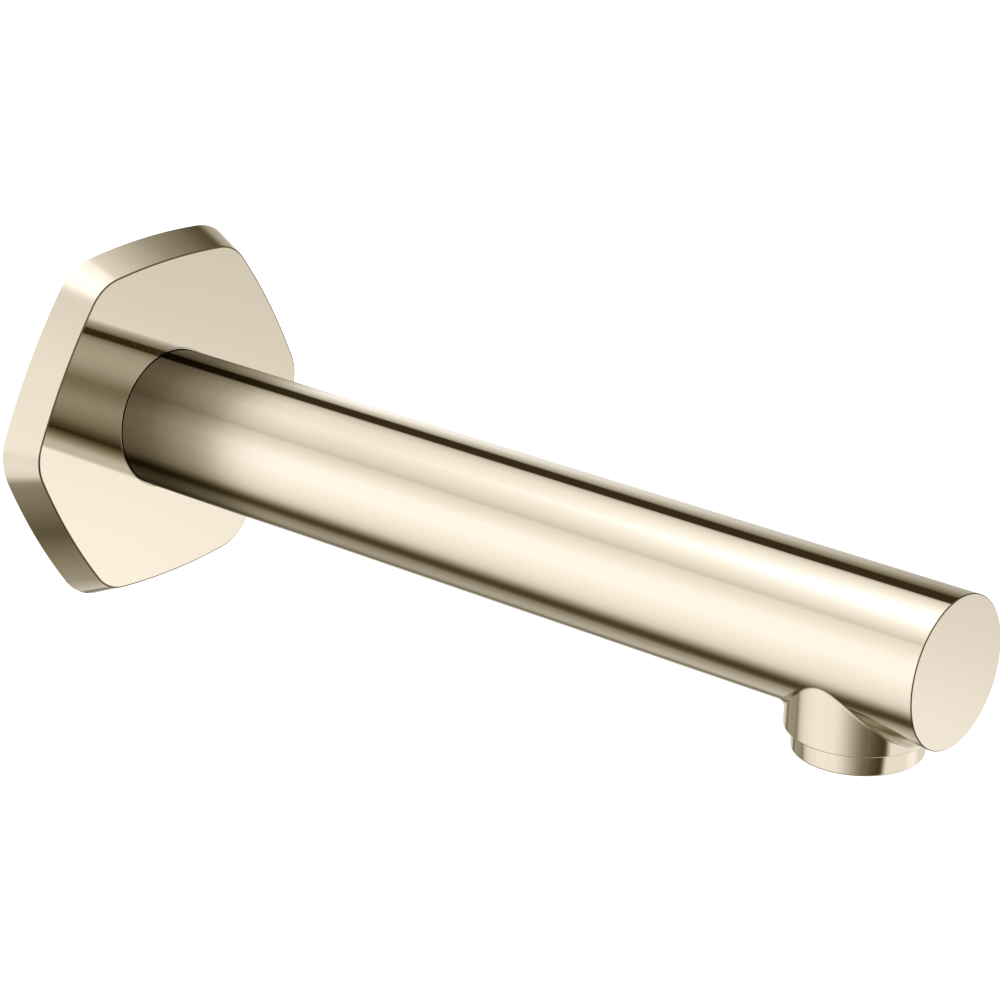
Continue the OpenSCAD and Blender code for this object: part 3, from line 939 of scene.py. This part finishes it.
@dataclass
class WallConnection:
    """The threaded nipple in the wall with its seals, the brass socket in the spout, and the set screw."""

    nose_r: float = 10.40 * MM
    flange_r: float = 13.0 * MM
    flange_front: float = -2.5 * MM
    flange_back: float = -1.2 * MM
    relief_r: float = 10.15 * MM
    thread_r: float = 10.4775 * MM
    thread_root: float = 9.32 * MM
    thread_pitch: float = 1.814 * MM
    way_r: float = 6.0 * MM
    key: float = 12.0 * MM
    key_depth: float = 11.0 * MM
    seal_root: float = 8.41 * MM
    seal_w: float = 2.4 * MM
    screw_root: float = 9.4 * MM
    screw_w: float = 4.0 * MM
    screw_r: float = 1.95 * MM
    screw_key: float = 2.0 * MM
    screw_pitch: float = 0.7 * MM
    screw_thread: float = 0.35 * MM
    screw_cone: float = 0.6 * MM
    screw_point: float = 0.55 * MM
    screw_start: float = 0.15 * MM
    screw_sleeve_r: float = 0.9 * MM
    screw_plain: float = 0.9 * MM
    screw_key_depth: float = 2.2 * MM
    lap: float = 0.01 * MM
    flange_bevel: float = 0.2 * MM
    relief_end: float = 0.1 * MM
    core_gap: float = 0.03 * MM
    core_start: float = 0.8 * MM
    tail_bevel: float = 0.6 * MM
    sleeve_r: float = 7.6 * MM
    thread_start: float = 0.5 * MM

    def __post_init__(self) -> None:
        """Reads the seals' and the screw's places from the frame."""
        low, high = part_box("wall_nipple")
        self.nose, self.tail = low.y, high.y
        self.seals = (centre_of("nipple_o_ring_rear").y, centre_of("nipple_o_ring_front").y)
        self.screw_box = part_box("set_screw")
        self.screw_y = centre_of("set_screw").y

    def build(self) -> None:
        """Builds the nipple and the screw, and dresses the seals, the socket and the washer."""
        seat(self.nipple(), "root", BRASS, "wall_nipple")
        seat(self.screw(), "set_screw", STAINLESS, "set_screw")
        dress_node("inlet_socket", BRASS)
        dress_node("nipple_o_ring_rear", BLACK_RUBBER)
        dress_node("nipple_o_ring_front", BLACK_RUBBER)
        dress_node("flange_washer", FIBRE)

    def groove(self, y: float, width: float, root: float) -> Outline:
        """Four outline points of a square groove in the nose."""
        near, far = y - width / 2, y + width / 2
        return [(self.nose_r, near), (root, near), (root, far), (self.nose_r, far)]

    def nipple(self) -> bpy.types.Object:
        """Turns the nipple, cuts its hexagon socket and its pipe thread."""
        bevel, core = self.flange_bevel, self.thread_root - self.core_gap
        rear, front = self.seals
        outline = [
            (self.way_r, self.nose), (self.nose_r - MM, self.nose), (self.nose_r, self.nose + MM),
            *self.groove(front, self.seal_w, self.seal_root),
            *self.groove(rear, self.seal_w, self.seal_root),
            *self.groove(self.screw_y, self.screw_w, self.screw_root),
            (self.nose_r, self.flange_front),
            (self.flange_r - bevel, self.flange_front), (self.flange_r, self.flange_front + bevel),
            (self.flange_r, self.flange_back - bevel), (self.flange_r - bevel, self.flange_back),
            (self.relief_r, self.flange_back), (self.relief_r, self.relief_end), (core, self.core_start),
            (core, self.tail - self.tail_bevel), (self.thread_root - self.tail_bevel, self.tail),
            (self.way_r, self.tail)]
        nipple = Bench.turn("threaded_nipple", outline, Axis.ALONG_SPOUT, middle(), 96)
        thread = Thread(self.thread_r, self.thread_root, self.sleeve_r, self.thread_pitch,
                        self.tail - 2 * self.thread_start)
        Bench.weld(nipple, thread.sleeve("pipe thread", middle(self.thread_start), Axis.ALONG_SPOUT))
        Bench.drill(nipple, self.key / math.sqrt(3), 2 * self.key_depth, middle(self.nose),
                    Axis.ALONG_SPOUT, 6)
        Bench.soften(nipple, 30)
        return nipple

    def screw(self) -> bpy.types.Object:
        """Makes the headless screw: a threaded stud with a hexagon socket below and a cone point."""
        low, high = self.screw_box[0].z, self.screw_box[1].z
        root = self.screw_r - self.screw_thread
        outline = [(0, low), (root, low), (root, high - self.screw_cone),
                   (root - self.screw_point, high), (0, high)]
        screw = Bench.turn("grub_screw", outline, Axis.UPRIGHT, middle(self.screw_y), 48)
        thread = Thread(self.screw_r, root + self.lap, self.screw_sleeve_r, self.screw_pitch,
                        high - low - self.screw_plain, 48)
        start = middle(self.screw_y, low + self.screw_start)
        Bench.weld(screw, thread.sleeve("screw thread", start, Axis.UPRIGHT))
        Bench.drill(screw, self.screw_key / math.sqrt(3), 2 * self.screw_key_depth,
                    middle(self.screw_y, low), Axis.UPRIGHT, 6)
        Bench.soften(screw, 30)
        return screw


@dataclass
class Aerator:
    """The screw-in aerator: a nickel housing round a plastic cartridge."""

    ring_r: float = 13.5 * MM
    ring_bevel: float = 0.5 * MM
    top_bevel: float = 0.3 * MM
    ring_top: float = -18.2 * MM
    shank_r: float = 11.95 * MM
    shank_root: float = 11.36 * MM
    bore_r: float = 10.85 * MM
    lip_r: float = 9.95 * MM
    ledge: float = -21.9 * MM
    thread_pitch: float = 1.0 * MM
    wire: float = 0.12 * MM
    wire_pitch: float = 0.9 * MM
    lip_bevel: float = 0.25 * MM
    shank_bevel: float = 0.15 * MM
    core_gap: float = 0.02 * MM
    sleeve_r: float = 11.1 * MM
    thread_from: float = 0.5 * MM
    thread_to: float = 0.2 * MM
    rim_w: float = 0.35 * MM
    rim_bevel: float = 0.05 * MM
    weave: float = 0.06 * MM
    wire_inset: float = 0.3 * MM

    def __post_init__(self) -> None:
        """Reads the housing's and the gauzes' places from the frame."""
        low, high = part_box("aerator_housing")
        self.at = Vector(((low.x + high.x) / 2, (low.y + high.y) / 2, 0))
        self.bottom, self.top = low.z, high.z

    def build(self) -> None:
        """Builds the housing and the gauzes, and dresses the cartridge."""
        seat(self.housing(), "aerator", NICKEL, "aerator_housing")
        for node in ("mesh_upper", "mesh_lower"):
            seat(self.gauze(node.replace("mesh", "gauze"), node), "aerator", GAUZE, node)
        dress_node("aerator_washer", BLACK_RUBBER)
        dress_node("regulator_o_ring", ORANGE_RUBBER)
        dress_node("inlet_strainer", GREEN_PLASTIC)
        dress_node("outlet_grid", GREY_PLASTIC)
        for node in ("cartridge_body", "regulator_disc", "jet_plate", "jet_spreader", "mesh_spacer"):
            dress_node(node, WHITE_PLASTIC)

    def housing(self) -> bpy.types.Object:
        """Turns the housing and cuts its thread."""
        core, lip, bevel = self.shank_root - self.core_gap, self.lip_bevel, self.shank_bevel
        low = [(self.ring_r - self.ring_bevel * (1 - math.sin(a)),
                self.bottom + self.ring_bevel * (1 - math.cos(a))) for a in quarter(4)]
        high = [(self.ring_r - self.top_bevel * (1 - math.cos(a)),
                 self.ring_top - self.top_bevel * (1 - math.sin(a))) for a in quarter(3)]
        outline = [(self.lip_r, self.bottom + lip), (self.lip_r + lip, self.bottom), *low, *high,
                   (core, self.ring_top), (core, self.top - bevel), (core - bevel, self.top),
                   (self.bore_r, self.top), (self.bore_r, self.ledge), (self.lip_r, self.ledge)]
        housing = Bench.turn("aerator_ring", outline, Axis.UPRIGHT, self.at, 144)
        start = self.ring_top + self.thread_from
        thread = Thread(self.shank_r, self.shank_root, self.sleeve_r, self.thread_pitch,
                        self.top - self.thread_to - start, 144)
        Bench.weld(housing, thread.sleeve("aerator thread", self.at + middle(z=start), Axis.UPRIGHT))
        Bench.polish(housing, 40)
        return housing

    def gauze(self, name: str, node: str) -> bpy.types.Object:
        """Weaves a round gauze of wires that pass over and under each other.

        Args:
            name: the piece's name.
            node: the CAD disc it stands for.

        Returns:
            The gauze.
        """
        low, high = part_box(node)
        radius, level = (high.x - low.x) / 2, (low.z + high.z) / 2
        inner, shoulder = radius - self.rim_w, radius - self.rim_bevel
        rim = [(inner, low.z), (shoulder, low.z), (radius, level), (shoulder, high.z), (inner, high.z)]
        gauze = Bench.turn(name, rim, Axis.UPRIGHT, self.at, 96)
        points, faces = [], []
        count = int(radius / self.wire_pitch)
        for across in (False, True):
            for lane in range(-count, count + 1):
                offset = lane * self.wire_pitch
                half = math.sqrt(max(0.0, (radius - self.wire_inset) ** 2 - offset ** 2))
                steps = max(2, int(2 * half / (self.wire_pitch / 4)))
                for i in range(steps + 1):
                    run = -half + 2 * half * i / steps
                    phase = math.pi * (run / self.wire_pitch + lane + (0.0 if across else 1.0))
                    rise = level + self.weave * math.cos(phase)
                    for side in range(4):
                        a = math.pi / 4 + math.pi / 2 * side
                        u, v = offset + self.wire / 2 * math.cos(a), rise + self.wire / 2 * math.sin(a)
                        points.append((u, run, v) if across else (run, u, v))
                    if i:
                        base = len(points) - 8
                        faces += [(base + s, base + (s + 1) % 4, base + 4 + (s + 1) % 4, base + 4 + s)
                                  for s in range(4)]
                first = len(points) - 4 * (steps + 1)
                faces += [tuple(range(first, first + 4)), tuple(range(len(points) - 4, len(points)))]
        wires = Bench.shape(name + " wires", np.array(points) + np.array(self.at), faces)
        Bench.take(gauze)
        wires.select_set(True)
        bpy.ops.object.join()
        Bench.soften(gauze, 60)
        return gauze


@dataclass
class Studio:
    """The camera, a pale floor, a soft studio painted all round by direction, and two sheets of painted
    shade that only reflections see.
    """

    eye: tuple[float, float, float] = (-0.54668, -0.54538, 0.28203)
    azimuth: float = -51.142
    elevation: float = 21.511
    roll: float = 1.316
    lens: float = 128.09
    sensor: float = 36
    clip: tuple[float, float] = (0.01, 60)
    floor_z: float = -1.3
    floor_size: float = 40.0
    floor_glow: float = 0.75
    floor_paint: tuple[float, ...] = (0.9, 0.9, 0.9, 1)
    lamp_at: tuple[float, float, float] = (-0.6, -0.7, 1.4)
    lamp_way: tuple[float, float, float] = (-0.6, -0.6, 1.4)
    lamp_size: float = 1.2
    lamp_power: float = 6.0
    card_gap: float = 0.05 * MM
    joint_inner: float = 16.0 * MM
    joint_outer: float = 16.5 * MM
    joint_depth: float = 0.3 * MM
    tint: tuple[float, float, float] = (0.93, 0.84, 0.70)
    scale: float = 1.4
    glow: float = 1.45
    face_turn: float = -27.5
    neck_turn: float = -65
    rear_glow: float = 0.30
    end_glow: float = 0.7
    low_glow: float = 0.8
    paler: tuple[float, ...] = (1.0, 1.06, 1.18, 1)

    WHITE = (1, 1, 1, 1)
    # Tones from dark to bright: level, and green and blue beside red.
    TONES = [(0.0, 0.6, 0.1), (0.02, 0.62, 0.17), (0.05, 0.68, 0.27), (0.1, 0.76, 0.38),
             (0.15, 0.80, 0.45), (0.24, 0.83, 0.52), (0.34, 0.855, 0.61), (0.45, 0.87, 0.64),
             (0.6, 0.885, 0.685), (0.8, 0.895, 0.72), (1.0, 0.90, 0.74), (1.13, 0.95, 0.84),
             (1.25, 0.98, 0.90), (1.4, 1.0, 0.96)]
    # Brightness about the spout as (degrees, level), for each stretch along it.
    FRONT = [(-180, 1.05), (-165, 0.97), (-150, 0.88), (-140, 0.80), (-130, 0.64), (-120, 0.28),
             (-113, 0.09), (-107, 0.06), (-101, 0.10), (-95, 0.28), (-80, 0.50), (-70, 0.6),
             (-61, 0.34), (-55, 0.12), (-49, 0.4), (-30, 0.8), (0, 0.42), (10, 0.42), (30, 0.16),
             (34, 0.08), (35, 0.035), (52, 0.035), (53.5, 0.5), (57, 0.72), (70, 0.98), (93, 1.32),
             (108, 1.08), (120, 0.88), (129, 0.70), (131.3, 0.655), (134.5, 0.8), (160, 1.02)]
    REAR = [(-180, 1.05), (-165, 0.97), (-150, 0.88), (-140, 0.78), (-130, 0.60), (-120, 0.26),
            (-113, 0.09), (-107, 0.06), (-101, 0.10), (-95, 0.22), (-80, 0.34), (-70, 0.30),
            (-61, 0.20), (-55, 0.12), (-49, 0.5), (-20, 0.97), (0, 0.97), (10, 0.97), (30, 0.5),
            (34, 0.2), (35, 0.035), (52, 0.035), (53.5, 0.4), (57, 0.6), (70, 0.8), (95, 0.92),
            (108, 0.84), (120, 0.75), (129, 0.65), (131.3, 0.60), (134.5, 0.72), (160, 1.03)]
    SIDE = [(-180, 0.87), (-150, 0.87), (-135, 0.75), (-127, 0.5), (-119, 0.25), (-109, 0.10),
            (-99, 0.31), (-89, 0.42), (-60, 0.5), (-30, 0.7), (0, 0.7), (20, 0.5), (30, 0.2),
            (36, 0.085), (46, 0.31), (56, 0.72), (66, 1.0), (95, 1.15), (115, 1.1), (127, 0.8),
            (136, 0.72), (148, 0.84), (160, 0.88)]
    BACK = [(-180, 0.29), (-172, 0.28), (-161, 0.235), (-149, 0.17), (-137, 0.085), (-125, 0.025),
            (-113, 0.15), (-101, 0.33), (-89, 0.52), (-77, 0.57), (-65, 0.54), (-45, 0.8), (-31, 0.98),
            (-28.5, 0.92), (-26, 0.72), (-24, 0.66), (0, 0.5), (30, 0.2), (34, 0.1), (35, 0.03),
            (52, 0.03), (55, 0.19), (67, 0.34), (79, 0.39), (91, 0.42), (103, 0.41), (115, 0.365),
            (127, 0.27), (139, 0.18), (151, 0.20), (163, 0.26), (175, 0.30)]
    OPEN_BACK = [(-180, 0.60), (-168, 0.30), (-150, 0.17), (-137, 0.085), (-125, 0.05), (-113, 0.15),
                 (-101, 0.33), (-89, 0.52), (-77, 0.6), (-65, 0.6), (-45, 0.8), (-31, 0.95), (0, 0.8),
                 (34, 0.75), (55, 0.75), (79, 0.8), (103, 0.8), (139, 0.7), (163, 0.75)]
    # How much the painted shade card lets through, as (radius, share): the painted shade on the tube near
    # the plate.
    SHADE = [(0.016, 0.12), (0.020, 0.13), (0.025, 0.155), (0.0295, 0.21), (0.035, 0.28), (0.041, 0.36),
             (0.0465, 0.50), (0.052, 0.70), (0.058, 0.86), (0.064, 0.95), (0.075, 1.0)]
    # Where one stretch of the studio gives way to the next, as (from, to) parts of a direction.
    TO_REAR, TO_AHEAD, TO_FAR = (0.48, 0.62), (0.25, 0.45), (0.80, 0.90)
    FACE_NEAR, NECK_NEAR, NECK_LOW = (0.95, 0.985), (0.6, 0.8), (-0.395, -0.41)
    STRIP_FROM, STRIP_TO = (-0.648, -0.656), (-0.712, -0.702)
    TO_END, END_FADE = (-0.73, -0.79), (-0.90, -0.97)
    TO_ABOVE, BELOW_BACK, ABOVE_BACK = (-0.2, 0.0), (0.16, -0.68), (-0.1, -0.5)
    AHEAD, BEHIND = (-0.001, 0.001), (0.16, 0.1)

    def build(self) -> None:
        """Sets up the camera, the floor, the light and the studio round them."""
        self.camera()
        self.floor()
        self.light()
        self.cards()
        self.surround()
        bpy.context.scene.view_settings.view_transform = "Standard"

    def camera(self) -> None:
        """Places the camera."""
        a, e, r = (math.radians(v) for v in (self.azimuth, self.elevation, self.roll))
        back = Vector((math.sin(a) * math.cos(e), -math.cos(a) * math.cos(e), math.sin(e)))
        level = Vector((math.cos(a), math.sin(a), 0))
        up = back.cross(level)
        right = level * math.cos(r) + up * math.sin(r)
        top = up * math.cos(r) - level * math.sin(r)
        Bench.clear()
        bpy.ops.object.camera_add(location=self.eye)
        camera = bpy.context.object
        turned = Matrix((right, top, back)).transposed().to_4x4()
        camera.matrix_world = Matrix.Translation(self.eye) @ turned
        camera.data.lens = self.lens
        camera.data.sensor_width = self.sensor
        camera.data.clip_start, camera.data.clip_end = self.clip
        bpy.context.scene.camera = camera

    def floor(self) -> None:
        """Lays a wide pale floor well below the spout."""
        Bench.clear()
        bpy.ops.mesh.primitive_plane_add(size=self.floor_size, location=(0, 0, self.floor_z))
        floor = bpy.context.object
        floor.name = "floor"
        material, desk = Desk.material("pale_floor")
        glow = desk.add("Emission", {"Color": self.WHITE, "Strength": self.floor_glow})
        paint = desk.add("BsdfDiffuse", {"Color": self.floor_paint, "Roughness": 0.5})
        desk.show(desk.add("AddShader", {0: glow.outputs[0], 1: paint.outputs[0]}))
        floor.data.materials.append(material)
        floor.visible_glossy = False

    def light(self) -> None:
        """Hangs one large soft light above, for the rubber and the plastic."""
        Bench.clear()
        bpy.ops.object.light_add(type="AREA", location=self.lamp_at)
        lamp = bpy.context.object
        lamp.data.shape = "DISK"
        lamp.data.size = self.lamp_size
        lamp.data.energy = self.lamp_power
        lamp.rotation_mode = "QUATERNION"
        lamp.rotation_quaternion = Vector(self.lamp_way).to_track_quat("Z", "Y")
        lamp.visible_glossy = False

    def cards(self) -> None:
        """Hangs a card of painted shade level with the plate's front face, and a ring of painted shadow
        round the joint.

        Only reflections see them. The polished tube darkens softly towards the plate, a painted shade,
        because the card is darkest at its middle and clear from behind, and the joint reads as a thin dark
        line, a painted shadow.
        """
        Bench.clear()
        span, front = self.SHADE[-1][0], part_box("escutcheon")[0].y
        # Painted shade: a see-through sheet that only reflections see, darkest at its middle, so the tube's
        # reflection darkens towards the plate.
        bpy.ops.mesh.primitive_circle_add(
            vertices=96, radius=span, fill_type="NGON", location=middle(front - self.card_gap),
            rotation=(math.pi / 2, 0, 0))
        shade_sheet = bpy.context.object
        shade_sheet.name = "painted_shade_card"
        film, desk = Desk.material("painted_shade_film")
        away = desk.add("VectorMath", {0: desk.place()}, operation="LENGTH").outputs["Value"]
        tone = desk.ramp(desk.math("DIVIDE", away, span),
                         [(r / span, (f, f ** 1.08, f ** 1.27)) for r, f in self.SHADE])
        shade = desk.add("BsdfTransparent", {"Color": tone})
        clear = desk.add("BsdfTransparent", {"Color": self.WHITE})
        far = desk.add("NewGeometry").outputs["Backfacing"]
        desk.show(desk.add("MixShader", {0: far, 1: shade.outputs[0], 2: clear.outputs[0]}))
        shade_sheet.data.materials.append(film)
        # Painted shadow: a black ring at the joint that only reflections see, standing in for the shade in
        # the gap.
        depth = front + self.joint_depth
        ring = Bench.turn("joint_shadow_card", [(self.joint_inner, depth), (self.joint_outer, depth)],
                          Axis.ALONG_SPOUT, middle(), 96)
        black, desk = Desk.material("joint_shadow_black")
        desk.show(desk.add("BsdfDiffuse", {"Color": (0.01, 0.01, 0.01, 1)}))
        ring.data.materials.append(black)
        for piece in (shade_sheet, ring):
            piece.visible_camera = piece.visible_diffuse = piece.visible_shadow = False

    def surround(self) -> None:
        """Paints the studio by direction: its angle about the spout, and how far it lies along it."""
        world = bpy.data.worlds.new("studio")
        bpy.context.scene.world = world
        world.use_nodes = True
        desk = Desk(world.node_tree)
        way = desk.add("SeparateXYZ", {0: desk.add("TexCoord").outputs["Generated"]}).outputs
        turn = desk.math("DIVIDE", desk.math("ARCTAN2", way["Z"], way["X"]), math.tau)
        turn = desk.math("ADD", turn, 0.5)
        side = self.band(desk, turn, self.SIDE)
        ahead = self.ahead(desk, way, turn, side)
        strip = desk.math("MULTIPLY", desk.span(way["Y"], *self.STRIP_FROM),
                          desk.span(way["Y"], *self.STRIP_TO))
        face = desk.span(self.near(desk, way, self.face_turn), *self.FACE_NEAR, smooth=True)
        behind = self.behind(desk, way, turn, side, desk.math("MAXIMUM", strip, face))
        level = desk.blend(desk.span(way["Y"], *self.AHEAD), behind, ahead)
        level = desk.blend(desk.span(way["Y"], *self.BEHIND), level, behind)
        colour = desk.ramp(level, [(r / self.scale, self.tone(r, g, b)) for r, g, b in self.TONES])
        twice = desk.math("MULTIPLY", strip, desk.math("SUBTRACT", 1.0, face))
        colour = desk.dye(1.0, colour, desk.dye(twice, self.WHITE, self.paler), "MULTIPLY")
        seen = desk.add("Background", {"Color": self.WHITE, "Strength": 1.0})
        cast = desk.add("Background", {"Color": colour, "Strength": self.glow})
        direct = desk.add("LightPath").outputs["Is Camera Ray"]
        mixed = desk.add("MixShader", {0: direct, 1: cast.outputs[0], 2: seen.outputs[0]})
        desk.add("OutputWorld", {"Surface": mixed.outputs[0]})

    def ahead(self, desk: Desk, way: dict, turn: Socket, side: Socket) -> Socket:
        """The brightness of the stretch towards the wall, which the tube mirrors from the front."""
        front, rear = (self.band(desk, turn, stops) for stops in (self.FRONT, self.REAR))
        level = desk.blend(desk.span(way["Y"], *self.TO_REAR), front, rear)
        far = desk.span(way["Y"], *self.TO_FAR, to_high=self.rear_glow / self.scale)
        level = desk.math("MAXIMUM", level, far)
        return desk.blend(desk.span(way["Y"], *self.TO_AHEAD, smooth=True), side, level)

    def behind(self, desk: Desk, way: dict, turn: Socket, side: Socket, strip: Socket) -> Socket:
        """The brightness of the stretch in front of the spout, which its flat faces mirror."""
        back, open_back = (self.band(desk, turn, stops) for stops in (self.BACK, self.OPEN_BACK))
        low = desk.math("MULTIPLY", desk.span(self.near(desk, way, self.neck_turn), *self.NECK_NEAR),
                        desk.span(way["Z"], *self.NECK_LOW))
        back = desk.blend(strip, open_back, back)
        end = desk.blend(desk.span(way["Y"], *self.END_FADE, smooth=True), open_back,
                         self.end_glow / self.scale)
        end = desk.blend(low, end, self.low_glow / self.scale)
        level = desk.blend(desk.span(way["Y"], *self.TO_END, smooth=True), back, end)
        below = desk.span(way["Y"], *self.BELOW_BACK, smooth=True)
        above = desk.span(way["Y"], *self.ABOVE_BACK, smooth=True)
        return desk.blend(desk.blend(desk.span(way["Z"], *self.TO_ABOVE), below, above), side, level)

    def tone(self, red: float, green: float, blue: float) -> tuple[float, ...]:
        """A tone as the nickel should show it, with the nickel's own colour taken out."""
        shares = zip((1.0, green, blue), self.tint)
        return tuple(red * share / tint / self.glow for share, tint in shares)

    def band(self, desk: Desk, turn: Socket, stops: list[tuple[float, float]]) -> Socket:
        """Lays brightness over the angle about the spout, from (degrees, brightness) stops."""
        places = [((a + 180) / 360, (v / self.scale,) * 3) for a, v in stops]
        return desk.ramp(turn, places)

    @staticmethod
    def near(desk: Desk, way: dict, degrees: float) -> Socket:
        """How nearly a direction lies at an angle about the spout, from -1 to 1."""
        a = math.radians(degrees)
        pull = desk.math("ADD", desk.math("MULTIPLY", way["X"], math.cos(a)),
                         desk.math("MULTIPLY", way["Z"], math.sin(a)))
        across = desk.math("SUBTRACT", 1.0001, desk.math("MULTIPLY", way["Y"], way["Y"]))
        return desk.math("DIVIDE", pull, desk.math("SQRT", across))


def main() -> None:
    """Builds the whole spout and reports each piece."""
    logging.basicConfig(level=logging.INFO, format="%(name)s: %(message)s")
    Studio().build()
    for assembly in (Spout(), WallPlate(), WallConnection(), Aerator()):
        LOG.info("building %s", type(assembly).__name__)
        assembly.build()


if __name__ == "__main__":
    main()
